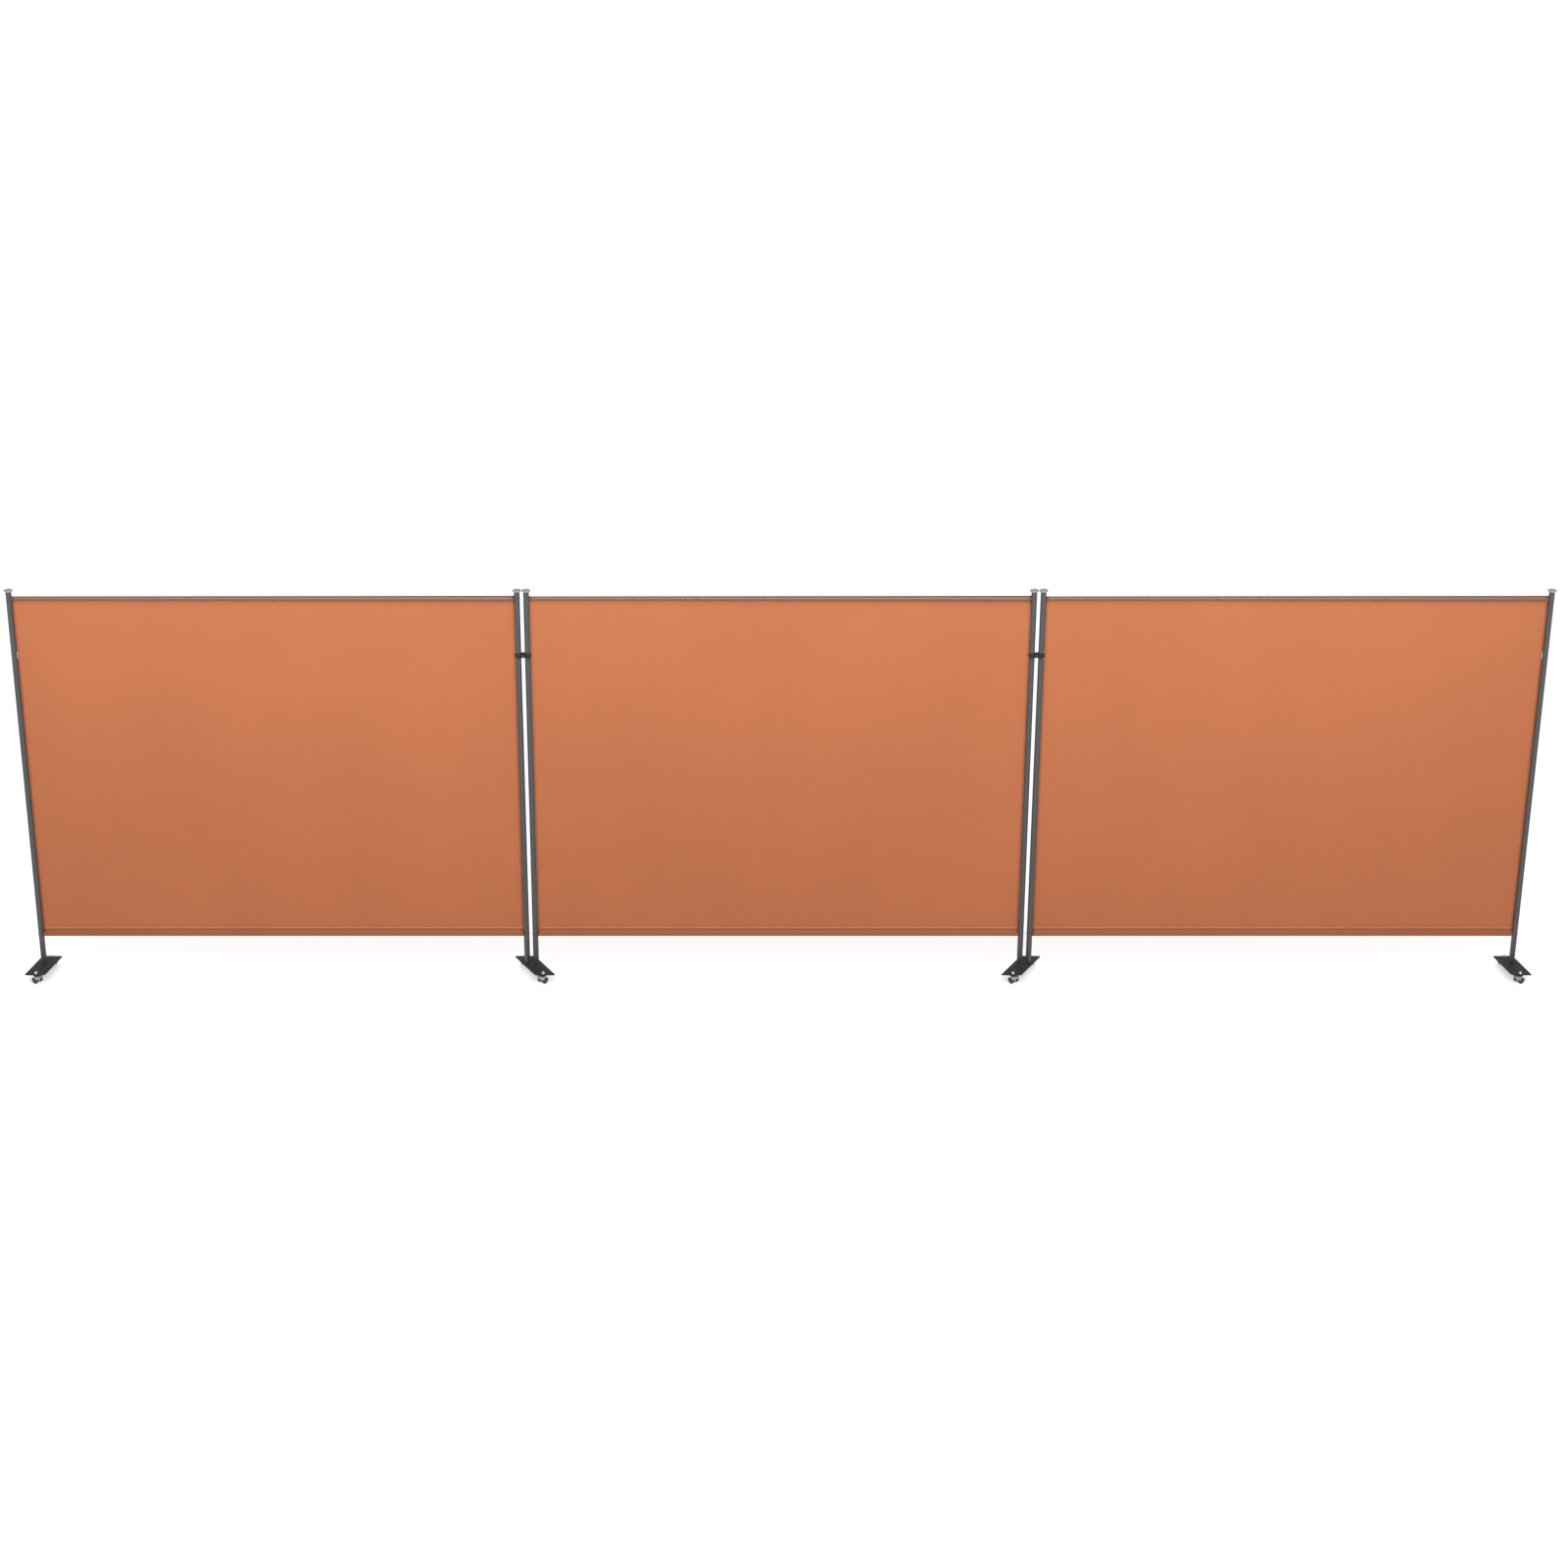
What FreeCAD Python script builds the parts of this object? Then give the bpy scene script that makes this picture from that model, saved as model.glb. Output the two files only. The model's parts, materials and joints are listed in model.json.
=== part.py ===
"""Welding curtain screen: three curtain panels in a row on four castered feet.

Every panel is a frame of two round posts and two curtain rods, with a vinyl curtain whose
top and bottom pockets slide over the rods. Neighbouring panels stand side by side on one
shared foot, and a double clamp holds the two posts together near the top. Each end panel
turns about its inner post. Every foot is a slanted steel plate on two twin-wheel casters.

Millimetres, +Z up. +X runs along the screen, and -Y is the front. The origin is on the
floor at the centre of the footprint.
"""
import FreeCAD, Part
import os
from math import cos, radians, sin, sqrt, tan

V = FreeCAD.Vector
X_AXIS = V(1, 0, 0)
Y_AXIS = V(0, 1, 0)
Z_AXIS = V(0, 0, 1)

# Layout
PANEL_PITCH = 2410.0        # between the two post axes of one panel
PAIR_PITCH = 44.0           # between the post axes of neighbouring panels
POST_PLANE_Y = 37.22        # all posts, rods and curtains stand in this plane

# Posts
POST_R = 14.0
POST_WALL = 1.5
POST_TOP_Z = 2022.0
POST_BORE_R = POST_R - POST_WALL

# Post caps
CAP_RIM_R = 21.0
CAP_RIM_H = 6.0
CAP_RISE = 12.0
CAP_CHAMFER = 1.2
CAP_PLUG_L = 22.0
CAP_PLUG_TAPER = 1.0
CAP_FIT = 0.1               # radial room of the plug in the post

# Curtain rods
ROD_R = 9.5
ROD_WALL = 1.5
ROD_TOP_Z = 1985.0
ROD_BOTTOM_Z = 207.0
ROD_PLUG_L = 30.0

# Rod screws, M6 with low button heads
SCREW_R = 3.0
SCREW_HOLE_R = 3.3
SCREW_HEAD_R = 5.5
SCREW_HEAD_H = 2.4
SCREW_RIM_H = 0.8
SCREW_CROWN_R = 3.3         # the flat top of the button head
SCREW_REACH = 22.0          # how far past the post the thread runs into the rod's plug
HEX_SOCKET_AF = 4.0
HEX_SOCKET_DEPTH = 1.4

# Curtains
CURTAIN_T = 1.0
CURTAIN_EDGE_GAP = 2.0      # from a post to the curtain's edge
POCKET_NARROW_R = 10.2      # inner radius of a top pocket at its left end
POCKET_WIDE_R = 13.2        # the same at its right end, where the pocket is looser
POCKET_BOTTOM_R = 13.0

# Feet
PLATE_T = 5.0
PLATE_BOTTOM_Z = 41.0
PLATE_TOP_Z = PLATE_BOTTOM_Z + PLATE_T
PLATE_DEPTH = 204.0
PLATE_WIDTH = 99.0
PLATE_CENTRE_AHEAD = 34.0   # the plates' centres lie this far in front of the posts
PLATE_END_LEAN = 2.0        # degrees that the front and back edges lean from X
PLATE_SHARP_R = 3.0
PLATE_BLUNT_R = 25.0
PLATE_EDGE_CHAMFER = 0.5
END_SLANT = 14.0            # degrees that an end foot's sides lean from Y
INNER_SLANT = 29.0          # the same for a foot under two posts
END_FOOT_INWARD = 3.4       # an end plate's centre, from its post towards the middle
INNER_FOOT_INWARD = 17.5    # an inner plate's centre, from the pair's centre, likewise
STEM_SPREAD = 91.0          # caster stems in front of and behind the plate's centre
END_STEM_SLANT = 12.0       # degrees that the line through an end foot's two stems leans from Y
INNER_STEM_SLANT = 27.0     # the same for a foot under two posts

# Foot fastenings, M10
INSERT_L = 30.0
INSERT_FIT = 0.02
BOLT_R = 5.0
BOLT_HEAD_AF = 17.0
BOLT_HEAD_H = 6.4
BOLT_FACE_R = 8.0           # the flat face of the chamfered bolt head
BOLT_REACH = 24.0           # above the plate
BOLT_HOLE_R = 5.5
PIVOT_HOLE_R = 5.1          # running fit of a turning bolt in its plate
THREAD_FIT = 0.05
TURN_GAP = 0.3              # between a turning piece and the plate it turns on

# Post clamps
CLAMP_Z = 1696.0
CLAMP_H = 25.0
CLAMP_T = 1.8
CLAMP_SPLIT = 1.2           # gap between the two halves at the outer sides
CLAMP_WEB_Y = 5.0           # from the posts' plane to the inside of each web
CLAMP_TURN_FIT = 0.08       # radial, round the turning post
CLAMP_BOLT_R = 3.0
CLAMP_BOLT_HOLE_R = 3.3
CLAMP_BOLT_HEAD_AF = 10.0
CLAMP_BOLT_HEAD_H = 4.0
CLAMP_NUT_H = 5.0
CLAMP_BOLT_END = 1.5        # of the bolt shows past its nut

# Casters
WHEEL_R = 16.0
WHEEL_T = 15.3
WHEEL_INNER_X = 6.5         # from the caster's middle to a wheel's inner face
WHEEL_SHOULDER = 2.0
WHEEL_DISH_DEPTH = 1.6
WHEEL_DISH_SLOPE = 1.0      # how far the dish's side walls lean
WHEEL_DISH_R = 12.0
WHEEL_HUB_R = 5.0
WHEEL_HUB_INSET = 0.4
AXLE_R = 2.5
AXLE_HALF_L = 17.5
AXLE_FIT = 0.06
TRAIL = 6.0                 # from the stem's axis to the axle
HOOD_R = 18.6
HOOD_WELL_R = 17.0
HOOD_HALF_W = WHEEL_INNER_X + WHEEL_T
HOOD_WEB_HALF = 6.0
HOOD_HUB_R = 11.0
HOOD_TIP = 25.0             # degrees that the hood's open side tips away from the axle
BOSS_R = 9.0
BOSS_TOP_Z = 35.0
COLLAR_R = 15.0             # a wide collar between the plate and the hood
COLLAR_BOTTOM_Z = 35.4
COLLAR_CHAMFER = 1.5
PIN_R = 4.0                 # the stem's lower end, which the hood turns on
PIN_RECESS = 0.2            # how far up in the collar the pin's shoulder sits
PIN_FIT = 0.08
PIN_BOTTOM_Z = 23.0
PIN_TOP_Z = COLLAR_BOTTOM_Z + PIN_RECESS
PIN_END_GAP = 1.0           # under the pin, in its socket
STEM_R = 5.0
STEM_TOP_Z = PLATE_TOP_Z + 8.0
STEM_HOLE_R = 5.5
CAP_NUT_AF = 17.0
CAP_NUT_HEX_H = 5.0
CAP_NUT_DOME_R = 7.5
CAP_NUT_END_GAP = 0.5       # from the stem's end to the nut's blind end
CASTER_SWING = 67.0         # degrees from the slant of a plate to the way its casters roll

# Worked out from the values above
PANEL_X = {"left": -(PANEL_PITCH + PAIR_PITCH), "centre": 0.0, "right": PANEL_PITCH + PAIR_PITCH}
SIDES = (-1, 1)
INNER_POST_X = PANEL_PITCH / 2
TURNING_POST_X = INNER_POST_X + PAIR_PITCH
END_POST_X = TURNING_POST_X + PANEL_PITCH
PAIR_X = INNER_POST_X + PAIR_PITCH / 2
PLATE_SLANTS = {"end": END_SLANT, "inner": INNER_SLANT}
STEM_SLANTS = {"end": END_STEM_SLANT, "inner": INNER_STEM_SLANT}

os.makedirs("parts", exist_ok=True)


def save(name, shape):
    shape.exportStep("parts/" + name + ".step")


def group(solids):
    return Part.makeCompound(solids)


def rod_between(radius, start, direction, length):
    return Part.makeCylinder(radius, length, start, direction)


def hexagon_prism(across_flats, height, base, direction):
    corner_r = across_flats / sqrt(3)
    corners = [V(corner_r * cos(radians(60 * k)), corner_r * sin(radians(60 * k)), 0) for k in range(7)]
    prism = Part.Face(Part.makePolygon(corners)).extrude(V(0, 0, height))
    prism.Placement = FreeCAD.Placement(base, FreeCAD.Rotation(Z_AXIS, direction))
    return prism


def revolved(profile):
    """Turn a closed profile of (radius, height) points about Z."""
    points = [V(r, 0, z) for r, z in profile]
    return Part.Face(Part.makePolygon(points + points[:1])).revolve(V(0, 0, 0), Z_AXIS, 360)


def rounded_outline(corners, radii):
    """A closed wire through the corners, each rounded by a tangent arc of its own radius."""
    count = len(corners)
    edges = []
    starts = []
    ends = []
    for k, (corner, radius) in enumerate(zip(corners, radii)):
        back = (corners[k - 1] - corner).normalize()
        ahead = (corners[(k + 1) % count] - corner).normalize()
        half_angle = back.getAngle(ahead) / 2
        run = radius / tan(half_angle)
        middle = (back + ahead).normalize()
        centre = corner + middle * (radius / sin(half_angle))
        start = corner + back * run
        end = corner + ahead * run
        edges.append(Part.Arc(start, centre - middle * radius, end).toShape())
        starts.append(start)
        ends.append(end)
    for k in range(count):
        edges.append(Part.LineSegment(ends[k], starts[(k + 1) % count]).toShape())
    return Part.Wire(Part.__sortEdges__(edges))


# Panels: posts, caps, rods, screws and curtains

def post_foot_z(turns):
    """A turning post stands just clear of its plate, and a fixed one stands on it."""
    return PLATE_TOP_Z + (TURN_GAP if turns else 0.0)


def make_post(x, turns):
    foot_z = post_foot_z(turns)
    height = POST_TOP_Z - foot_z
    base = V(x, POST_PLANE_Y, foot_z)
    post = rod_between(POST_R, base, Z_AXIS, height).cut(rod_between(POST_BORE_R, base, Z_AXIS, height))
    for rod_z in (ROD_BOTTOM_Z, ROD_TOP_Z):
        start = V(x - 2 * POST_R, POST_PLANE_Y, rod_z)
        post = post.cut(rod_between(SCREW_HOLE_R, start, X_AXIS, 4 * POST_R))
    return post


def make_cap(x):
    """A domed plastic cap with a plug that grips inside the post's top end."""
    plug_r = POST_BORE_R - CAP_FIT
    rise = CAP_RISE - CAP_RIM_H
    dome_r = (CAP_RIM_R ** 2 + rise ** 2) / (2 * rise)
    halfway = CAP_RIM_R / 2
    rim_low = V(CAP_RIM_R, 0, CAP_CHAMFER)
    rim_high = V(CAP_RIM_R, 0, CAP_RIM_H)
    shoulder = V(halfway, 0, CAP_RISE - dome_r + sqrt(dome_r ** 2 - halfway ** 2))
    crown = V(0, 0, CAP_RISE)
    underside = [crown, V(0, 0, -CAP_PLUG_L), V(plug_r - CAP_PLUG_TAPER, 0, -CAP_PLUG_L),
                 V(plug_r, 0, -CAP_PLUG_L + 2 * CAP_PLUG_TAPER),
                 V(plug_r, 0, 0), V(CAP_RIM_R - CAP_CHAMFER, 0, 0), rim_low, rim_high]
    dome = Part.Arc(rim_high, shoulder, crown).toShape()
    outline = Part.Wire([Part.makePolygon(underside), dome])
    cap = Part.Face(outline).revolve(V(0, 0, 0), Z_AXIS, 360)
    cap.translate(V(x, POST_PLANE_Y, POST_TOP_Z))
    return cap


def coped(shape, centre_x):
    """Hollow a rod's ends to sit against the round posts."""
    for side in SIDES:
        base = V(centre_x + side * PANEL_PITCH / 2, POST_PLANE_Y, 0)
        shape = shape.cut(rod_between(POST_R, base, Z_AXIS, POST_TOP_Z))
    return shape


def make_rod(centre_x, rod_z):
    start = V(centre_x - PANEL_PITCH / 2, POST_PLANE_Y, rod_z)
    tube = rod_between(ROD_R, start, X_AXIS, PANEL_PITCH)
    tube = tube.cut(rod_between(ROD_R - ROD_WALL, start, X_AXIS, PANEL_PITCH))
    return coped(tube, centre_x)


def make_rod_plugs(centre_x):
    """The four threaded plugs pressed into the ends of a panel's rods."""
    plugs = []
    for side in SIDES:
        for rod_z in (ROD_BOTTOM_Z, ROD_TOP_Z):
            start = V(centre_x + side * PANEL_PITCH / 2, POST_PLANE_Y, rod_z)
            inward = X_AXIS * -side
            length = POST_R + ROD_PLUG_L
            plug = rod_between(ROD_R - ROD_WALL - INSERT_FIT, start, inward, length)
            plugs.append(coped(plug.cut(rod_between(SCREW_R + THREAD_FIT, start, inward, length)), centre_x))
    return group(plugs)


def make_rod_screw(x, side, rod_z):
    """A button-head screw driven through a post from its outer side into the rod."""
    outward = X_AXIS * side
    seat = V(x + side * POST_R, POST_PLANE_Y, rod_z)
    shank_l = 2 * POST_R + SCREW_REACH
    shank = rod_between(SCREW_R, seat, outward * -1, shank_l)
    # The head's rim reaches back to the round post all the way round.
    rim_drop = POST_R - sqrt(POST_R ** 2 - SCREW_HEAD_R ** 2)
    rim = rod_between(SCREW_HEAD_R, seat - outward * rim_drop, outward, rim_drop + SCREW_RIM_H)
    rim = rim.cut(rod_between(POST_R, V(x, POST_PLANE_Y, rod_z - POST_R), Z_AXIS, 2 * POST_R))
    dome_base = seat + outward * SCREW_RIM_H
    dome_h = SCREW_HEAD_H - SCREW_RIM_H
    dome = Part.makeCone(SCREW_HEAD_R, SCREW_CROWN_R, dome_h, dome_base, outward)
    socket = hexagon_prism(HEX_SOCKET_AF, 2 * HEX_SOCKET_DEPTH,
                           seat + outward * (SCREW_HEAD_H - HEX_SOCKET_DEPTH), outward)
    return shank.fuse([rim, dome]).removeSplitter().cut(socket)


def make_rod_screws(centre_x):
    screws = []
    for side in SIDES:
        for rod_z in (ROD_BOTTOM_Z, ROD_TOP_Z):
            screws.append(make_rod_screw(centre_x + side * PANEL_PITCH / 2, side, rod_z))
    return group(screws)


def make_curtain(centre_x):
    """A flat vinyl sheet with an open-ended pocket round each rod."""
    half_w = PANEL_PITCH / 2 - POST_R - CURTAIN_EDGE_GAP
    left_x = centre_x - half_w
    width = 2 * half_w
    sheet = Part.makeBox(width, CURTAIN_T, ROD_TOP_Z - ROD_BOTTOM_Z,
                         V(left_x, POST_PLANE_Y - CURTAIN_T / 2, ROD_BOTTOM_Z))
    top_start = V(left_x, POST_PLANE_Y, ROD_TOP_Z)
    bottom_start = V(left_x, POST_PLANE_Y, ROD_BOTTOM_Z)
    top_inner = Part.makeCone(POCKET_NARROW_R, POCKET_WIDE_R, width, top_start, X_AXIS)
    top_outer = Part.makeCone(POCKET_NARROW_R + CURTAIN_T, POCKET_WIDE_R + CURTAIN_T, width,
                              top_start, X_AXIS)
    bottom_outer = rod_between(POCKET_BOTTOM_R + CURTAIN_T, bottom_start, X_AXIS, width)
    bottom_inner = rod_between(POCKET_BOTTOM_R, bottom_start, X_AXIS, width)
    curtain = sheet.fuse([top_outer, bottom_outer]).cut(top_inner).cut(bottom_inner)
    return curtain.removeSplitter()


# Feet: plates, inserts and bolts

def plate_centre(side, kind):
    """The centre of one foot plate; side is -1 for a left one and 1 for a right one."""
    if kind == "end":
        return V(side * (END_POST_X - END_FOOT_INWARD), POST_PLANE_Y - PLATE_CENTRE_AHEAD, 0)
    return V(side * (PAIR_X - INNER_FOOT_INWARD), POST_PLANE_Y - PLATE_CENTRE_AHEAD, 0)


def leans_right(side, kind):
    """Whether a foot's back end lies to the right of its front end."""
    return side == (-1 if kind == "end" else 1)


def slant_run(side, kind, slants):
    """How far a slanted line moves along X for each millimetre towards the back."""
    run = tan(radians(slants[kind]))
    return run if leans_right(side, kind) else -run


def stem_centres(side, kind):
    """The front and back caster stems, on a slanted line through the plate's centre."""
    centre = plate_centre(side, kind)
    run = slant_run(side, kind, STEM_SLANTS)
    return {"front": centre + V(-run * STEM_SPREAD, -STEM_SPREAD, 0),
            "back": centre + V(run * STEM_SPREAD, STEM_SPREAD, 0)}


def make_plate(side, kind):
    """A slanted plate with two sharp and two well-rounded corners, drilled for its fastenings."""
    run = slant_run(side, kind, PLATE_SLANTS)
    lean = 1 if leans_right(side, kind) else -1
    to_back = V(run * PLATE_DEPTH / 2, PLATE_DEPTH / 2, 0)
    to_right = V(PLATE_WIDTH / 2, -lean * PLATE_WIDTH / 2 * tan(radians(PLATE_END_LEAN)), 0)
    centre = plate_centre(side, kind) + V(0, 0, PLATE_BOTTOM_Z)
    corners = [centre - to_back - to_right, centre - to_back + to_right,
               centre + to_back + to_right, centre + to_back - to_right]
    radii = [PLATE_SHARP_R, PLATE_BLUNT_R] * 2 if lean > 0 else [PLATE_BLUNT_R, PLATE_SHARP_R] * 2
    plate = Part.Face(rounded_outline(corners, radii)).extrude(V(0, 0, PLATE_T))
    rims = [edge for edge in plate.Edges if abs(edge.CenterOfMass.z - PLATE_TOP_Z) < 1e-6]
    plate = plate.makeChamfer(PLATE_EDGE_CHAMFER, rims)
    for stem in stem_centres(side, kind).values():
        plate = plate.cut(rod_between(STEM_HOLE_R, stem, Z_AXIS, 2 * PLATE_TOP_Z))
    if kind == "end":
        holes = [(END_POST_X, BOLT_HOLE_R)]
    else:
        holes = [(INNER_POST_X, BOLT_HOLE_R), (TURNING_POST_X, PIVOT_HOLE_R)]
    for post_x, hole_r in holes:
        plate = plate.cut(rod_between(hole_r, V(side * post_x, POST_PLANE_Y, 0), Z_AXIS, 2 * PLATE_TOP_Z))
    return plate


def make_foot_insert(x, turns):
    """A threaded steel plug pressed into a post's lower end."""
    base = V(x, POST_PLANE_Y, post_foot_z(turns))
    body = rod_between(POST_BORE_R - INSERT_FIT, base, Z_AXIS, INSERT_L)
    return body.cut(rod_between(BOLT_R + THREAD_FIT, base, Z_AXIS, INSERT_L))


def make_foot_bolt(x, turns):
    """A hexagon bolt, head under the plate; a turning one's head hangs just clear of it."""
    seat = V(x, POST_PLANE_Y, PLATE_BOTTOM_Z - (TURN_GAP if turns else 0.0))
    shank = rod_between(BOLT_R, seat, Z_AXIS, PLATE_TOP_Z + BOLT_REACH - seat.z)
    face = seat - V(0, 0, BOLT_HEAD_H)
    head = hexagon_prism(BOLT_HEAD_AF, BOLT_HEAD_H, face, Z_AXIS)
    # A cone 30 degrees from the face cuts the head's corners back.
    chamfer_cone = Part.makeCone(BOLT_FACE_R, BOLT_FACE_R + BOLT_HEAD_H * sqrt(3), BOLT_HEAD_H, face, Z_AXIS)
    return shank.fuse(head.common(chamfer_cone))


# Post clamps

def make_clamp_half(side, face):
    """Half of a double post clamp; face is -1 for the front half and 1 for the back half."""
    low_z = CLAMP_Z - CLAMP_H / 2
    post_places = [(side * INNER_POST_X, 0.0), (side * TURNING_POST_X, CLAMP_TURN_FIT)]
    centre = V(side * PAIR_X, POST_PLANE_Y, low_z)
    web_y = CLAMP_WEB_Y if face > 0 else -CLAMP_WEB_Y - CLAMP_T
    half = Part.makeBox(PAIR_PITCH, CLAMP_T, CLAMP_H, centre + V(-PAIR_PITCH / 2, web_y, 0))
    for post_x, fit in post_places:
        base = V(post_x, POST_PLANE_Y, low_z)
        half = half.fuse(rod_between(POST_R + fit + CLAMP_T, base, Z_AXIS, CLAMP_H))
    for post_x, fit in post_places:
        half = half.cut(rod_between(POST_R + fit, V(post_x, POST_PLANE_Y, low_z), Z_AXIS, CLAMP_H))
    reach = 2 * PAIR_PITCH
    trims = [(reach, CLAMP_SPLIT / 2), (PAIR_PITCH / 2, CLAMP_WEB_Y)]
    for half_w, keep_from in trims:
        corner_y = -reach if face > 0 else -keep_from
        trim = Part.makeBox(2 * half_w, reach + keep_from, CLAMP_H, centre + V(-half_w, corner_y, 0))
        half = half.cut(trim)
    hole_start = V(centre.x, POST_PLANE_Y - 2 * POST_R, CLAMP_Z)
    return half.cut(rod_between(CLAMP_BOLT_HOLE_R, hole_start, Y_AXIS, 4 * POST_R)).removeSplitter()


def make_clamp_bolt(side):
    seat = V(side * PAIR_X, POST_PLANE_Y - CLAMP_WEB_Y - CLAMP_T, CLAMP_Z)
    grip = 2 * (CLAMP_WEB_Y + CLAMP_T)
    shank = rod_between(CLAMP_BOLT_R, seat, Y_AXIS, grip + CLAMP_NUT_H + CLAMP_BOLT_END)
    head = hexagon_prism(CLAMP_BOLT_HEAD_AF, CLAMP_BOLT_HEAD_H, seat, Y_AXIS * -1)
    return shank.fuse(head)


def make_clamp_nut(side):
    seat = V(side * PAIR_X, POST_PLANE_Y + CLAMP_WEB_Y + CLAMP_T, CLAMP_Z)
    nut = hexagon_prism(CLAMP_BOLT_HEAD_AF, CLAMP_NUT_H, seat, Y_AXIS)
    return nut.cut(rod_between(CLAMP_BOLT_R + THREAD_FIT, seat, Y_AXIS, CLAMP_NUT_H))


# Casters: built with the stem on the Z axis, the axle along X and its trail towards +Y

def make_hood():
    """The shell between and over the two wheels, with the stem's socket and the axle's bore."""
    axle_mid = V(0, TRAIL, WHEEL_R)

    def across(radius, half_width):
        return rod_between(radius, axle_mid - X_AXIS * half_width, X_AXIS, 2 * half_width)

    lower_side = Part.makeBox(4 * HOOD_R, 4 * HOOD_R, 2 * HOOD_R, V(-2 * HOOD_R, -2 * HOOD_R, -2 * HOOD_R))
    lower_side.rotate(V(0, 0, 0), X_AXIS, HOOD_TIP)
    lower_side.translate(axle_mid)
    shell = across(HOOD_R, HOOD_HALF_W).cut(lower_side)
    hub = across(HOOD_HUB_R, HOOD_WEB_HALF)
    boss = rod_between(BOSS_R, V(0, 0, WHEEL_R), Z_AXIS, BOSS_TOP_Z - WHEEL_R)
    hood = shell.fuse([hub, boss])
    for side in SIDES:
        start = axle_mid + X_AXIS * side * HOOD_WEB_HALF
        hood = hood.cut(rod_between(HOOD_WELL_R, start, X_AXIS * side, 2 * HOOD_R))
    hood = hood.cut(across(AXLE_R + AXLE_FIT, HOOD_HALF_W))
    socket_base = V(0, 0, PIN_BOTTOM_Z - PIN_END_GAP)
    return hood.cut(rod_between(PIN_R + PIN_FIT, socket_base, Z_AXIS, PLATE_TOP_Z)).removeSplitter()


def make_wheel_pair():
    """Two dished wheels pressed on one axle."""
    dish_h = WHEEL_T - WHEEL_DISH_DEPTH
    hub_h = WHEEL_T - WHEEL_HUB_INSET
    axle_h = AXLE_HALF_L - WHEEL_INNER_X
    profile = [(AXLE_R, 0), (WHEEL_R - WHEEL_SHOULDER, 0), (WHEEL_R, WHEEL_SHOULDER),
               (WHEEL_R, WHEEL_T - WHEEL_SHOULDER), (WHEEL_R - WHEEL_SHOULDER, WHEEL_T),
               (WHEEL_DISH_R, WHEEL_T), (WHEEL_DISH_R - WHEEL_DISH_SLOPE, dish_h),
               (WHEEL_HUB_R + WHEEL_DISH_SLOPE, dish_h), (WHEEL_HUB_R, hub_h), (0, hub_h),
               (0, axle_h), (AXLE_R, axle_h)]
    solids = [rod_between(AXLE_R, V(-AXLE_HALF_L, TRAIL, WHEEL_R), X_AXIS, 2 * AXLE_HALF_L)]
    for side in SIDES:
        wheel = revolved(profile)
        turn = FreeCAD.Rotation(Z_AXIS, X_AXIS * side)
        wheel.Placement = FreeCAD.Placement(V(side * WHEEL_INNER_X, TRAIL, WHEEL_R), turn)
        solids.append(wheel)
    return group(solids)


def make_collar():
    """The fixed collar between the plate and the hood, pierced by the stem."""
    bore_r = STEM_R + THREAD_FIT
    return revolved([(bore_r, COLLAR_BOTTOM_Z), (COLLAR_R - COLLAR_CHAMFER, COLLAR_BOTTOM_Z),
                     (COLLAR_R, COLLAR_BOTTOM_Z + COLLAR_CHAMFER), (COLLAR_R, PLATE_BOTTOM_Z),
                     (bore_r, PLATE_BOTTOM_Z)])


def make_stem():
    """The fixed stem: threaded through the plate, with a thinner pin that the hood turns on."""
    return revolved([(0, PIN_BOTTOM_Z), (PIN_R, PIN_BOTTOM_Z), (PIN_R, PIN_TOP_Z), (STEM_R, PIN_TOP_Z),
                     (STEM_R, STEM_TOP_Z), (0, STEM_TOP_Z)])


def make_cap_nut():
    """A domed nut on top of the plate, blind so that it covers the stem's end."""
    base = V(0, 0, PLATE_TOP_Z)
    hexagon = hexagon_prism(CAP_NUT_AF, CAP_NUT_HEX_H, base, Z_AXIS)
    dome = Part.makeSphere(CAP_NUT_DOME_R, base + V(0, 0, CAP_NUT_HEX_H), Z_AXIS, 0, 90, 360)
    depth = STEM_TOP_Z - PLATE_TOP_Z + CAP_NUT_END_GAP
    return hexagon.fuse(dome).cut(rod_between(STEM_R + THREAD_FIT, base, Z_AXIS, depth))


def placed(shape, stem, turn):
    """A copy of a caster piece, swivelled about its stem and set in its place."""
    copy = shape.copy()
    move = FreeCAD.Placement(V(stem.x, stem.y, 0), FreeCAD.Rotation(Z_AXIS, turn))
    copy.Placement = move.multiply(copy.Placement)
    return copy


# Assembly

def save_panel(name, centre_x):
    left_x = centre_x - PANEL_PITCH / 2
    right_x = centre_x + PANEL_PITCH / 2
    turns = {left_x: name == "right", right_x: name == "left"}
    save(name + "_panel_left_post", make_post(left_x, turns[left_x]))
    save(name + "_panel_right_post", make_post(right_x, turns[right_x]))
    save(name + "_panel_post_caps", group([make_cap(x) for x in turns]))
    save(name + "_panel_top_rod", make_rod(centre_x, ROD_TOP_Z))
    save(name + "_panel_bottom_rod", make_rod(centre_x, ROD_BOTTOM_Z))
    save(name + "_panel_rod_end_plugs", make_rod_plugs(centre_x))
    save(name + "_panel_rod_screws", make_rod_screws(centre_x))
    save(name + "_panel_curtain", make_curtain(centre_x))
    save(name + "_panel_foot_inserts", group([make_foot_insert(x, turns[x]) for x in turns]))
    save(name + "_panel_foot_bolts", group([make_foot_bolt(x, turns[x]) for x in turns]))


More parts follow.
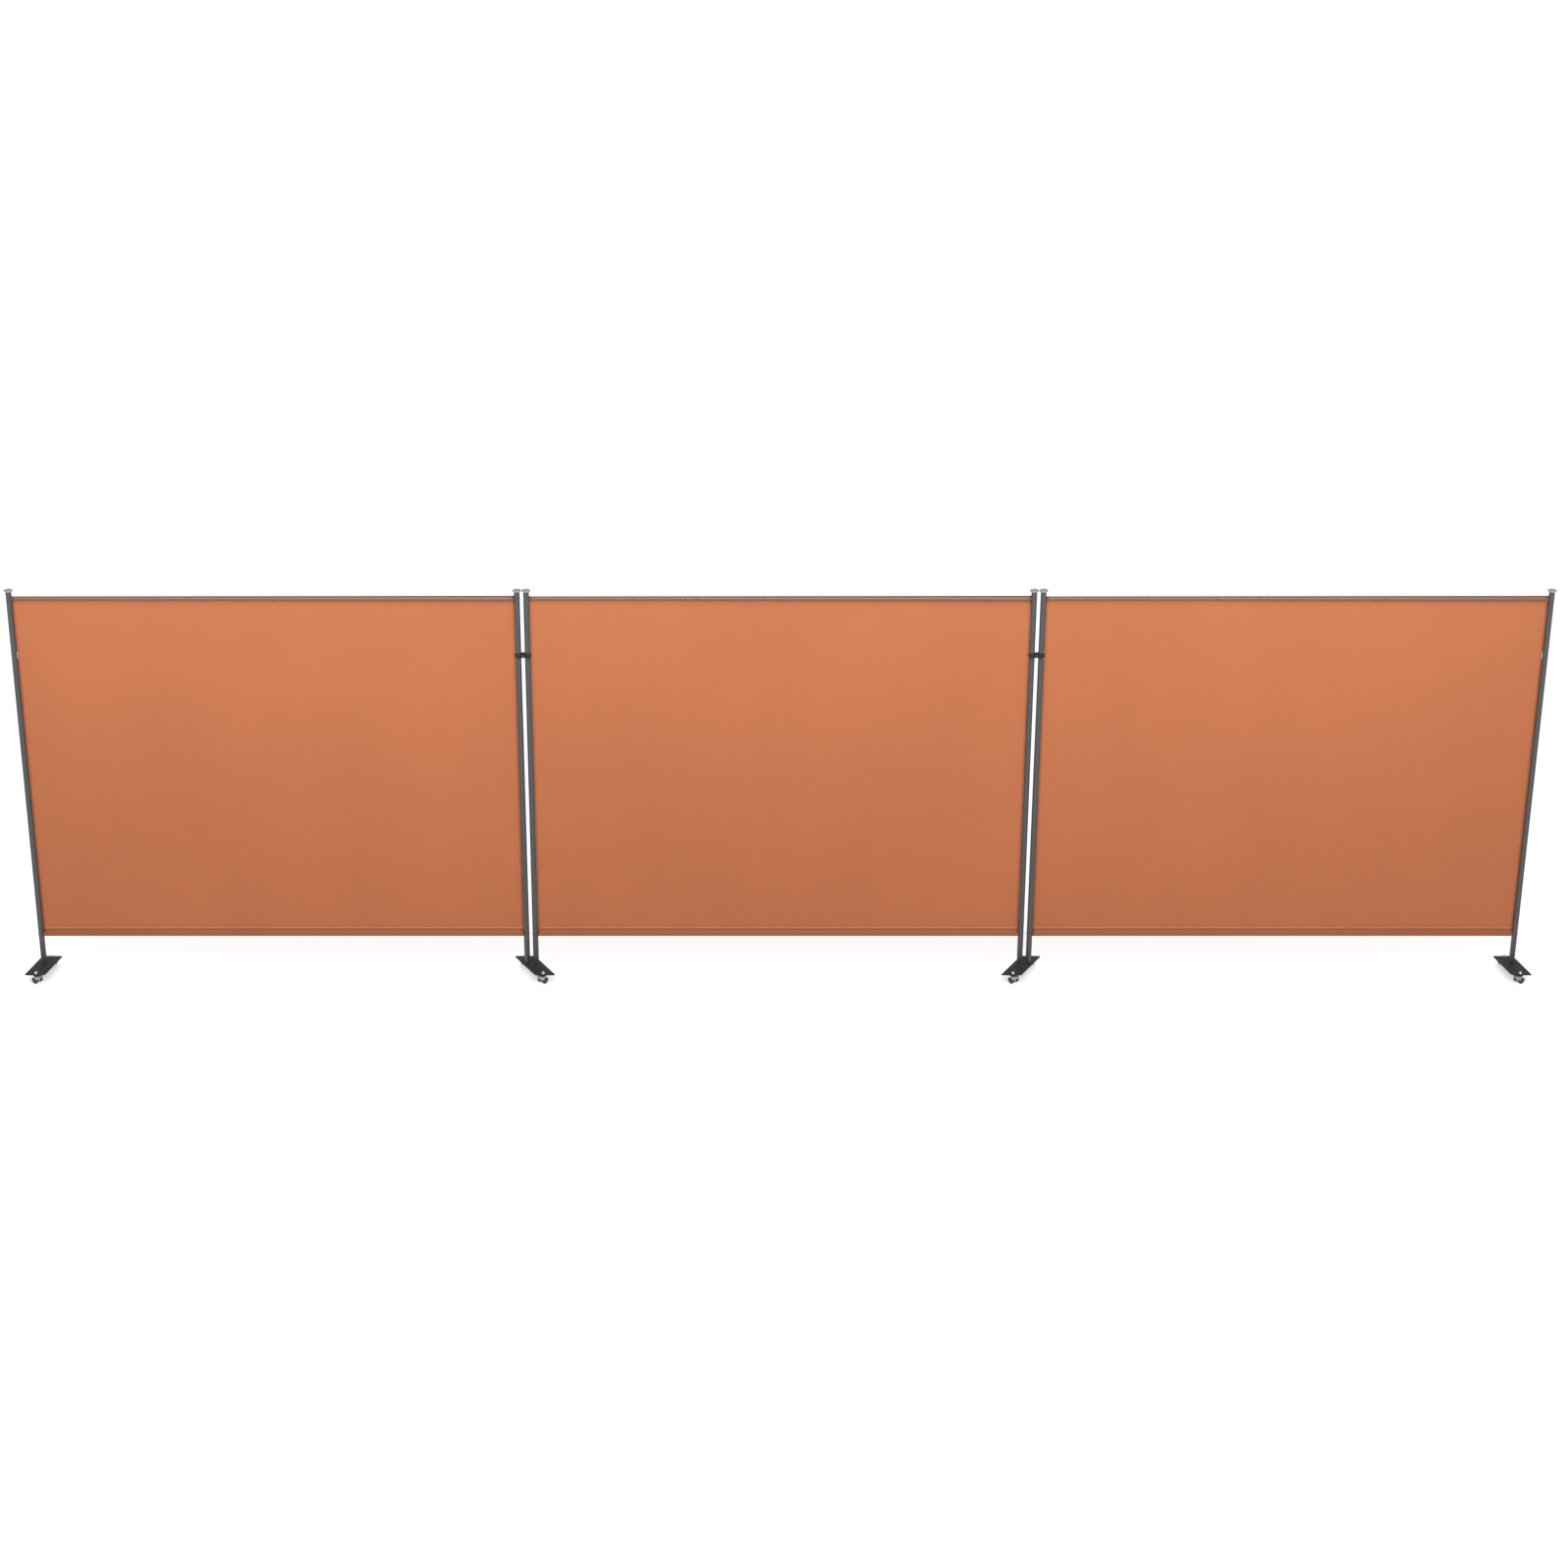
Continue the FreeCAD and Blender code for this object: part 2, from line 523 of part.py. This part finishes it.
def save_casters():
    """Eight casters; their collars, stems and nuts are grouped by the feet that they are fixed to."""
    hood = make_hood()
    wheels = make_wheel_pair()
    collar = make_collar()
    stem_piece = make_stem()
    nut = make_cap_nut()
    feet = {"left_end": (-1, "end"), "left_inner": (-1, "inner"),
            "right_inner": (1, "inner"), "right_end": (1, "end")}
    fixings = {"left_end_foot": [], "inner_feet": [], "right_end_foot": []}
    collars = {owner: [] for owner in fixings}
    for foot, (side, kind) in feet.items():
        trail_turn = 180 - (CASTER_SWING - PLATE_SLANTS[kind])
        turn = -trail_turn if leans_right(side, kind) else trail_turn
        owner = foot + "_foot" if kind == "end" else "inner_feet"
        for place, stem in stem_centres(side, kind).items():
            name = foot + "_" + place + "_caster"
            save(name + "_hood", placed(hood, stem, turn))
            save(name + "_wheels", placed(wheels, stem, turn))
            fixings[owner] += [placed(stem_piece, stem, 0), placed(nut, stem, 0)]
            collars[owner].append(placed(collar, stem, 0))
        save(foot + "_foot_plate", make_plate(side, kind))
    for owner in fixings:
        save(owner + "_caster_stems_and_nuts", group(fixings[owner]))
        save(owner + "_caster_collars", group(collars[owner]))


def save_clamps():
    save("clamp_front_halves", group([make_clamp_half(side, -1) for side in SIDES]))
    save("clamp_back_halves", group([make_clamp_half(side, 1) for side in SIDES]))
    save("clamp_bolts", group([make_clamp_bolt(side) for side in SIDES]))
    save("clamp_nuts", group([make_clamp_nut(side) for side in SIDES]))


for panel_name, panel_x in PANEL_X.items():
    save_panel(panel_name, panel_x)
save_casters()
save_clamps()
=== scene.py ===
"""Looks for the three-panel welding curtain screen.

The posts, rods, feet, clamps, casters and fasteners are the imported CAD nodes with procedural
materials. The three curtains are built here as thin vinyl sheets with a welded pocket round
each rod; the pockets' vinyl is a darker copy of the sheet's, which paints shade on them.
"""
import json
from math import acos, cos, pi, radians, sin

import bpy
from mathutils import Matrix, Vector, noise


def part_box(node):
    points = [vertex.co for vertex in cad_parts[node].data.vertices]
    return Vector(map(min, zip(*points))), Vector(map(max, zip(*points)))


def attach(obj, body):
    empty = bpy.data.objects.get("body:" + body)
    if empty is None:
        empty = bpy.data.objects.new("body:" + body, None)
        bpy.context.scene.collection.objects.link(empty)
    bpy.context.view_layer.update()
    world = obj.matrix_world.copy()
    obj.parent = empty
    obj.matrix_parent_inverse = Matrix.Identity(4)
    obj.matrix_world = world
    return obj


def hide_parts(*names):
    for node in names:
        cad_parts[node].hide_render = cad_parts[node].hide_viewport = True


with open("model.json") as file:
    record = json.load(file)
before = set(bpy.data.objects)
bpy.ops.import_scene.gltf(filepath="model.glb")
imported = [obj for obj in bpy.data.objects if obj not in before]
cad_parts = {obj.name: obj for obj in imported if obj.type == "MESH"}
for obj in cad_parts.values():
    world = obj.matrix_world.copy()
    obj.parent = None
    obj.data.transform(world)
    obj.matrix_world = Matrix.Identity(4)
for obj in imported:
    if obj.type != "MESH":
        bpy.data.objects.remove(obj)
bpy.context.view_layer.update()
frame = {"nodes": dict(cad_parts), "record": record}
PANELS = ("left", "centre", "right")
WHITE = (1.0, 1.0, 1.0, 1.0)


# Materials

EVEN = (1, 1, 1)                            # noise that is the same size along every axis
NOISE_ROUGHNESS = 0.55
TONE_STOPS = (0.3, 0.7)                     # noise values of the darkest and the lightest tone
ALONG_CLOTH = (1, 1, 0.45)                  # the vinyl's tone changes more slowly down the sheet
VINYL_SCATTER = 0.25                        # share of the vinyl's shading that is lit from behind
VINYL_TINT = (0.92, 0.36, 0.16, 1.0)        # colour of the light that passes straight through
FLOOR_GREY = (0.72, 0.72, 0.72)
FLOOR_ROUGHNESS = 0.8
FLOOR_GLOW = 0.50


def new_material(name):
    """A node material, with its node tree and its one shader."""
    material = bpy.data.materials.new(name)
    material.use_nodes = True
    tree = material.node_tree
    return material, tree, tree.nodes["Principled BSDF"]


def add_node(tree, kind, **inputs):
    """A node of one kind, with its input sockets set by name (underscores stand for spaces)."""
    node = tree.nodes.new(kind)
    for socket, value in inputs.items():
        node.inputs[socket.replace("_", " ")].default_value = value
    return node


def noise_texture(tree, scale, detail=4.0, stretch=EVEN):
    """Noise in the object's own space; a stretch below 1 makes it longer along that axis."""
    coordinates = tree.nodes.new("ShaderNodeTexCoord")
    mapping = add_node(tree, "ShaderNodeMapping", Scale=stretch)
    texture = add_node(tree, "ShaderNodeTexNoise", Scale=scale, Detail=detail,
                       Roughness=NOISE_ROUGHNESS)
    tree.links.new(coordinates.outputs["Object"], mapping.inputs["Vector"])
    tree.links.new(mapping.outputs["Vector"], texture.inputs["Vector"])
    return texture.outputs["Fac"]


def ramp(tree, source, stops):
    """A colour ramp over (position, colour) stops."""
    node = tree.nodes.new("ShaderNodeValToRGB")
    for element, (position, colour) in zip(node.color_ramp.elements, stops):
        element.position = position
        element.color = (*colour, 1.0)
    tree.links.new(source, node.inputs["Fac"])
    return node.outputs["Color"]


def span(tree, source, low, high):
    """Stretch a value from 0 to 1 over the range low to high."""
    node = add_node(tree, "ShaderNodeMapRange", To_Min=low, To_Max=high)
    tree.links.new(source, node.inputs["Value"])
    return node.outputs["Result"]


def bump(tree, shader, height, strength, distance):
    """Fine relief; the distance is in metres."""
    node = add_node(tree, "ShaderNodeBump", Strength=strength, Distance=distance)
    tree.links.new(height, node.inputs["Height"])
    tree.links.new(node.outputs["Normal"], shader.inputs["Normal"])


def toned(tree, shader, colour, drift, scale, stretch=EVEN):
    """Base colour that drifts by a small share of itself from place to place."""
    dark = tuple(c * (1 - drift) for c in colour)
    light = tuple(c * (1 + drift) for c in colour)
    patchy = noise_texture(tree, scale, stretch=stretch)
    tone = ramp(tree, patchy, list(zip(TONE_STOPS, (dark, light))))
    tree.links.new(tone, shader.inputs["Base Color"])
    return tone


def rough_drift(tree, shader, roughness, spread, scale):
    """Roughness that drifts by the spread to either side from place to place."""
    rough = span(tree, noise_texture(tree, scale), roughness - spread, roughness + spread)
    tree.links.new(rough, shader.inputs["Roughness"])


def painted_steel(name, colour, roughness, specular, metallic=0.0):
    """Powder-coated steel: fine orange peel with a slight drift of colour and gloss."""
    material, tree, shader = new_material(name)
    toned(tree, shader, colour, drift=0.05, scale=40.0)
    rough_drift(tree, shader, roughness, spread=0.05, scale=60.0)
    shader.inputs["Specular IOR Level"].default_value = specular
    shader.inputs["Metallic"].default_value = metallic
    bump(tree, shader, noise_texture(tree, 900.0, detail=2.0), strength=0.10, distance=0.0003)
    return material


def bare_metal(name, colour, roughness):
    """Zinc-plated steel with a faint mottle."""
    material, tree, shader = new_material(name)
    shader.inputs["Metallic"].default_value = 1.0
    toned(tree, shader, colour, drift=0.06, scale=220.0)
    rough_drift(tree, shader, roughness, spread=0.06, scale=90.0)
    bump(tree, shader, noise_texture(tree, 400.0), strength=0.06, distance=0.0002)
    return material


def moulded_plastic(name, colour, roughness):
    """Moulded plastic with a fine spark-eroded grain and a slight drift of tone."""
    material, tree, shader = new_material(name)
    toned(tree, shader, colour, drift=0.06, scale=55.0)
    rough_drift(tree, shader, roughness, spread=0.05, scale=70.0)
    bump(tree, shader, noise_texture(tree, 1400.0, detail=1.0), strength=0.12, distance=0.0002)
    return material


def vinyl(name, colour, roughness, specular, see_through):
    """Welding vinyl with a fine calendered grain; see_through is the share of clear light."""
    material, tree, shader = new_material(name)
    tone = toned(tree, shader, colour, drift=0.03, scale=1.6, stretch=ALONG_CLOTH)
    rough_drift(tree, shader, roughness, spread=0.06, scale=9.0)
    shader.inputs["Specular IOR Level"].default_value = specular
    bump(tree, shader, noise_texture(tree, 700.0, detail=2.0), strength=0.10, distance=0.0003)
    glow = tree.nodes.new("ShaderNodeBsdfTranslucent")
    tree.links.new(tone, glow.inputs["Color"])
    clear = add_node(tree, "ShaderNodeBsdfTransparent", Color=VINYL_TINT)
    soft = add_node(tree, "ShaderNodeMixShader", Fac=VINYL_SCATTER)
    mixed = add_node(tree, "ShaderNodeMixShader", Fac=see_through)
    tree.links.new(shader.outputs["BSDF"], soft.inputs[1])
    tree.links.new(glow.outputs["BSDF"], soft.inputs[2])
    tree.links.new(soft.outputs["Shader"], mixed.inputs[1])
    tree.links.new(clear.outputs["BSDF"], mixed.inputs[2])
    tree.links.new(mixed.outputs["Shader"], tree.nodes["Material Output"].inputs["Surface"])
    return material


def pale_floor(name):
    """A light grey studio floor that also glows, so that it comes out evenly white."""
    material, tree, shader = new_material(name)
    toned(tree, shader, FLOOR_GREY, drift=0.01, scale=0.35)
    shader.inputs["Roughness"].default_value = FLOOR_ROUGHNESS
    shader.inputs["Emission Color"].default_value = WHITE
    shader.inputs["Emission Strength"].default_value = FLOOR_GLOW
    return material


SLOT_MATERIALS = {
    "post_paint": painted_steel("post_satin_grey", (0.090, 0.091, 0.095), roughness=0.50,
                                specular=0.5, metallic=0.6),
    "plate_paint": painted_steel("plate_charcoal", (0.034, 0.034, 0.035), roughness=0.60,
                                 specular=0.2),
    "black_paint": painted_steel("clamp_black", (0.014, 0.014, 0.015), roughness=0.45,
                                 specular=0.3),
    "cap_plastic": moulded_plastic("cap_grey", (0.25, 0.25, 0.255), roughness=0.42),
    "zinc_plate": bare_metal("zinc", (0.66, 0.67, 0.69), roughness=0.24),
    "caster_hood_plastic": moulded_plastic("hood_light_grey", (0.40, 0.40, 0.41), roughness=0.40),
    "caster_wheel_plastic": moulded_plastic("wheel_black", (0.020, 0.020, 0.021), roughness=0.48),
}
# The clamps' bolts and nuts have the zinc slot, but nothing bright shows there in the photograph.
DARK_ZINC = bare_metal("dark_zinc", (0.10, 0.10, 0.103), roughness=0.42)
DARK_ZINC_NODES = ("clamp_bolts", "clamp_nuts")


def dress_cad_nodes():
    """Give every CAD node its slot's material, save the curtains' nodes, which are replaced."""
    slots = {part["node"]: part["material_slot"] for part in frame["record"]["subparts"]}
    for name, piece in frame["nodes"].items():
        material = SLOT_MATERIALS.get(slots[name])
        if name in DARK_ZINC_NODES:
            material = DARK_ZINC
        if material is not None:
            piece.data.materials.clear()
            piece.data.materials.append(material)


# Curtains

CLOTH_T = 0.0009            # thickness of the vinyl
LAYER_STEP = CLOTH_T * 1.15     # a hem's middle lies this far from the sheet's
HEM_TOP = 0.022             # welded overlap below a top pocket, at the back
HEM_BOTTOM = 0.016          # welded overlap above a bottom pocket, at the front
APEX = 1.30                 # a pocket's two sides meet this many radii from the rod's axis
POCKET_LOOSE = 0.0008       # a pocket's inside stands this far off its rod at the tightest
POST_GAP = 0.0003           # between a post and the curtain's side edge
CLAMP_CLEAR = 0.003         # the edges keep to the CAD sheet this far above and below a clamp
CLAMP_EASE = 0.004          # and come back out to the post over this height
# The pockets' vinyls are darker copies of the sheet's vinyl: painted shade.
SHEET, TOP_POCKET_SHADED, BOTTOM_POCKET_SHADED, WELD_HIGHLIGHT = range(4)       # places in the list of vinyls
COLUMNS = 150
SHEET_ROWS = 90
LOOP_STEPS = 26
HEM_STEPS = 3

WAVE = 0.0016               # size of the sheet's slow waves, front to back
WAVE_FADE = 6               # they reach full size a sixth of the way from either rod
SLOW_PITCH = (1.3, 0.45)    # noise cells per metre of the slow waves, across and down
SLOW_SHARE = 1.5
DRAPE_PITCH = (4.5, 0.9)    # the same for the finer waves, which die away down the sheet
DRAPE_SHARE = 0.8
DRAPE_LAYER = 3.0           # keeps the finer waves' noise apart from the slow waves'
SEED_STEP = 7.0             # and each curtain's noise apart from its neighbour's


def loop_points(centre_z, radius, apex_side):
    """The round part of the teardrop about one rod as (y, z), from its back to its front side.

    apex_side is -1 where the apex hangs below the rod and 1 where it stands above it.
    """
    half_open = acos(1 / APEX)
    points = []
    for step in range(LOOP_STEPS + 1):
        turn = half_open + (2 * pi - 2 * half_open) * step / LOOP_STEPS
        points.append((radius * sin(turn), centre_z + apex_side * radius * cos(turn)))
    return points


def curtain_profile(top_z, bottom_z, top_r, bottom_r, clamp_stops):
    """The cloth's path as (y, z) from the top hem's free edge to the bottom hem's free edge.

    The second result names the vinyl of each strip between two neighbouring points.
    """
    top_apex = top_z - APEX * top_r
    bottom_apex = bottom_z + APEX * bottom_r
    drop = bottom_apex - top_apex
    path = [(LAYER_STEP, top_apex - HEM_TOP * (1 - k / HEM_STEPS)) for k in range(HEM_STEPS + 1)]
    path += loop_points(top_z, top_r, -1)
    bands = [TOP_POCKET_SHADED] * (len(path) - 1)
    even_rows = [top_apex + drop * k / SHEET_ROWS for k in range(SHEET_ROWS + 1)]
    sheet_rows = sorted(even_rows + clamp_stops, reverse=True)
    path += [(0.0, z) for z in sheet_rows]
    bands += [SHEET] * len(sheet_rows)
    path += loop_points(bottom_z, bottom_r, 1)
    bands += [BOTTOM_POCKET_SHADED] * (LOOP_STEPS + 1)
    path += [(-LAYER_STEP, bottom_apex + HEM_BOTTOM * k / HEM_STEPS) for k in range(HEM_STEPS + 1)]
    # The last strip takes the weld's vinyl, a lighter copy of the sheet's: a painted highlight.
    bands += [BOTTOM_POCKET_SHADED] * HEM_STEPS + [WELD_HIGHLIGHT]
    return path, bands


def half_width_at(z, full_half_w, sheet_half_w, clamp_stops):
    """Half of the curtain's width at one height: its side edges come close to the posts.

    Beside a clamp they keep to the CAD sheet instead, which clears the clamp as the panel turns.
    """
    above, upper, lower, below = clamp_stops
    opening = max((z - upper) / (above - upper), (lower - z) / (lower - below))
    return sheet_half_w + (full_half_w - sheet_half_w) * max(0.0, min(1.0, opening))


def sheet_wave(x, z, top_z, bottom_z, seed):
    """Slow waves of a sheet hung tight between two rods, dying away at both rods."""
    down = (top_z - z) / (top_z - bottom_z)
    if not 0 < down < 1:
        return 0.0
    fade = min(1.0, WAVE_FADE * down, WAVE_FADE * (1 - down))
    slow_at = (SLOW_PITCH[0] * x + seed, SLOW_PITCH[1] * z, seed)
    drape_at = (DRAPE_PITCH[0] * x + seed, DRAPE_PITCH[1] * z, DRAPE_LAYER + seed)
    slow = noise.noise(Vector(slow_at))
    drape = noise.noise(Vector(drape_at))
    return WAVE * fade * (SLOW_SHARE * slow + DRAPE_SHARE * drape * (1 - down))


def rod_axis(panel, place):
    """The height and the radius of a panel's top or bottom rod."""
    low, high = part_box(f"{panel}_panel_{place}_rod")
    return (low.z + high.z) / 2, (high.z - low.z) / 2


def clamp_heights():
    """Where a side edge starts and ends each of its two eases about the clamps, from the top."""
    clamp_low, clamp_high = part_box("clamp_front_halves")
    upper = clamp_high.z + CLAMP_CLEAR
    lower = clamp_low.z - CLAMP_CLEAR
    return [upper + CLAMP_EASE, upper, lower, lower - CLAMP_EASE]


def cloth_piece(name, vertices, bands, vinyls):
    """A thin sheet over COLUMNS + 1 columns of vertices; bands holds each row of faces' vinyl."""
    rows = len(bands) + 1
    faces = []
    for column in range(COLUMNS):
        for row in range(rows - 1):
            a = column * rows + row
            faces.append((a, a + 1, a + rows + 1, a + rows))
    mesh = bpy.data.meshes.new(name)
    mesh.from_pydata(vertices, [], faces)
    mesh.polygons.foreach_set("use_smooth", [True] * len(mesh.polygons))
    mesh.polygons.foreach_set("material_index", bands * COLUMNS)
    piece = bpy.data.objects.new(name, mesh)
    bpy.context.scene.collection.objects.link(piece)
    for material in vinyls:
        piece.data.materials.append(material)
    thick = piece.modifiers.new("thickness", "SOLIDIFY")
    thick.thickness = CLOTH_T
    thick.offset = 0.0
    return piece


def make_curtain(panel, vinyls, seed):
    """One curtain from its CAD node's box; its top pocket grows looser from left to right."""
    node = panel + "_panel_curtain"
    low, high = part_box(node)
    middle_x = (low.x + high.x) / 2
    middle_y = (low.y + high.y) / 2
    sheet_half_w = (high.x - low.x) / 2
    post_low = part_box(f"{panel}_panel_right_post")[0]
    full_half_w = post_low.x - middle_x - POST_GAP
    clamp_stops = clamp_heights()
    top_z, rod_r = rod_axis(panel, "top")
    bottom_z = rod_axis(panel, "bottom")[0]
    tight_r = rod_r + POCKET_LOOSE + CLOTH_T / 2
    wide_r = high.z - top_z - CLOTH_T / 2
    bottom_r = bottom_z - low.z - CLOTH_T / 2
    vertices = []
    for column in range(COLUMNS + 1):
        u = column / COLUMNS
        top_r = tight_r + (wide_r - tight_r) * u
        path, bands = curtain_profile(top_z, bottom_z, top_r, bottom_r, clamp_stops)
        for y, z in path:
            half_w = half_width_at(z, full_half_w, sheet_half_w, clamp_stops)
            x = middle_x + (2 * u - 1) * half_w
            vertices.append((x, middle_y + y + sheet_wave(x, z, top_z, bottom_z, seed), z))
    piece = cloth_piece(panel + "_curtain", vertices, bands, vinyls)
    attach(piece, "centre" if panel == "centre" else panel + "_panel")
    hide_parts(node)


# Surroundings

FLOOR_HALF = 90.0
FLOOR_CORNERS = ((-1, -1), (1, -1), (1, 1), (-1, 1))
SKY_AROUND = 0.60           # radiance at the horizon
SKY_ZENITH = 0.80           # added to it straight overhead
STRIP_WATTS = 52.0
STRIP_LENGTH = 9.0
STRIP_HEIGHT = 1.0
STRIP_SPREAD = 70           # degrees
STRIP_PLACE = (0.0, -3.0, 3.6)
STRIP_TARGET = (0.0, 0.0, 2.1)
CAMERA_PLACE = (-0.2204, -14.4826, 7.576)
CAMERA_DOWN = 24.3          # degrees below level
CAMERA_LENS = 75.18
CAMERA_SENSOR = 36.0
CAMERA_SHIFT = 0.0321
CAMERA_REACH = 300.0        # sees to the far edge of the floor


def make_floor():
    """A wide square of studio floor under the screen."""
    corners = [(x * FLOOR_HALF, y * FLOOR_HALF, 0.0) for x, y in FLOOR_CORNERS]
    mesh = bpy.data.meshes.new("floor")
    mesh.from_pydata(corners, [], [(0, 1, 2, 3)])
    floor = bpy.data.objects.new("floor", mesh)
    floor.data.materials.append(pale_floor("studio_floor"))
    bpy.context.scene.collection.objects.link(floor)


def squared(tree, source):
    """A value multiplied by itself."""
    node = tree.nodes.new("ShaderNodeMath")
    node.operation = "MULTIPLY"
    tree.links.new(source, node.inputs[0])
    tree.links.new(source, node.inputs[1])
    return node.outputs["Value"]


def make_studio_sky():
    """A soft white surround that grows brighter with the fourth power of the ray's rise."""
    world = bpy.data.worlds.new("studio")
    world.use_nodes = True
    tree = world.node_tree
    background = tree.nodes["Background"]
    coordinates = tree.nodes.new("ShaderNodeTexCoord")
    split = tree.nodes.new("ShaderNodeSeparateXYZ")
    tree.links.new(coordinates.outputs["Generated"], split.inputs["Vector"])
    strength = tree.nodes.new("ShaderNodeMath")
    strength.operation = "MULTIPLY_ADD"
    strength.inputs[1].default_value = SKY_ZENITH
    strength.inputs[2].default_value = SKY_AROUND
    tree.links.new(squared(tree, squared(tree, split.outputs["Z"])), strength.inputs[0])
    tree.links.new(strength.outputs["Value"], background.inputs["Strength"])
    background.inputs["Color"].default_value = WHITE
    bpy.context.scene.world = world


def make_strip_light():
    """A long gridded softbox in front of the screen and above it, which fades down the cloth."""
    data = bpy.data.lights.new("front_strip", "AREA")
    data.energy = STRIP_WATTS
    data.shape = "RECTANGLE"
    data.size = STRIP_LENGTH
    data.size_y = STRIP_HEIGHT
    data.spread = radians(STRIP_SPREAD)
    light = bpy.data.objects.new("front_strip", data)
    light.location = STRIP_PLACE
    light.rotation_mode = "QUATERNION"
    towards_top_edge = Vector(STRIP_TARGET) - light.location
    light.rotation_quaternion = towards_top_edge.to_track_quat("-Z", "Y")
    bpy.context.scene.collection.objects.link(light)


def make_camera():
    """A long lens in front of the screen and well above it, a little left of its middle."""
    data = bpy.data.cameras.new("camera")
    data.sensor_width = CAMERA_SENSOR
    data.lens = CAMERA_LENS
    data.shift_x = CAMERA_SHIFT
    data.clip_end = CAMERA_REACH
    camera = bpy.data.objects.new("camera", data)
    camera.location = CAMERA_PLACE
    camera.rotation_euler = (radians(90 - CAMERA_DOWN), 0.0, 0.0)
    bpy.context.scene.collection.objects.link(camera)
    bpy.context.scene.camera = camera


make_camera()
make_studio_sky()
make_strip_light()
make_floor()
dress_cad_nodes()
VINYLS = [
    vinyl("curtain_orange_vinyl", (0.557, 0.197, 0.081), roughness=0.49, specular=0.30,
          see_through=0.10),
    # Painted shade: the top pocket's vinyl is a darker copy of the sheet's, for the shade on the
    # pocket round its rod.
    vinyl("curtain_top_pocket_painted_shade_vinyl", (0.21, 0.080, 0.035), roughness=0.28, specular=0.80,
          see_through=0.0),
    # Painted shade: the bottom pocket's vinyl is a darker copy of the sheet's, for the shade on
    # the pocket round its rod.
    vinyl("curtain_bottom_pocket_painted_shade_vinyl", (0.42, 0.130, 0.050), roughness=0.36, specular=0.35,
          see_through=0.0),
    # Painted highlight: the weld strip's vinyl is a lighter copy of the sheet's, for light along
    # the top of the bottom pocket.
    vinyl("curtain_weld_painted_highlight_vinyl", (0.68, 0.260, 0.120), roughness=0.40, specular=0.40,
          see_through=0.0),
]
for number, panel_name in enumerate(PANELS):
    make_curtain(panel_name, VINYLS, SEED_STEP * number)
bpy.context.scene.view_settings.view_transform = "Standard"
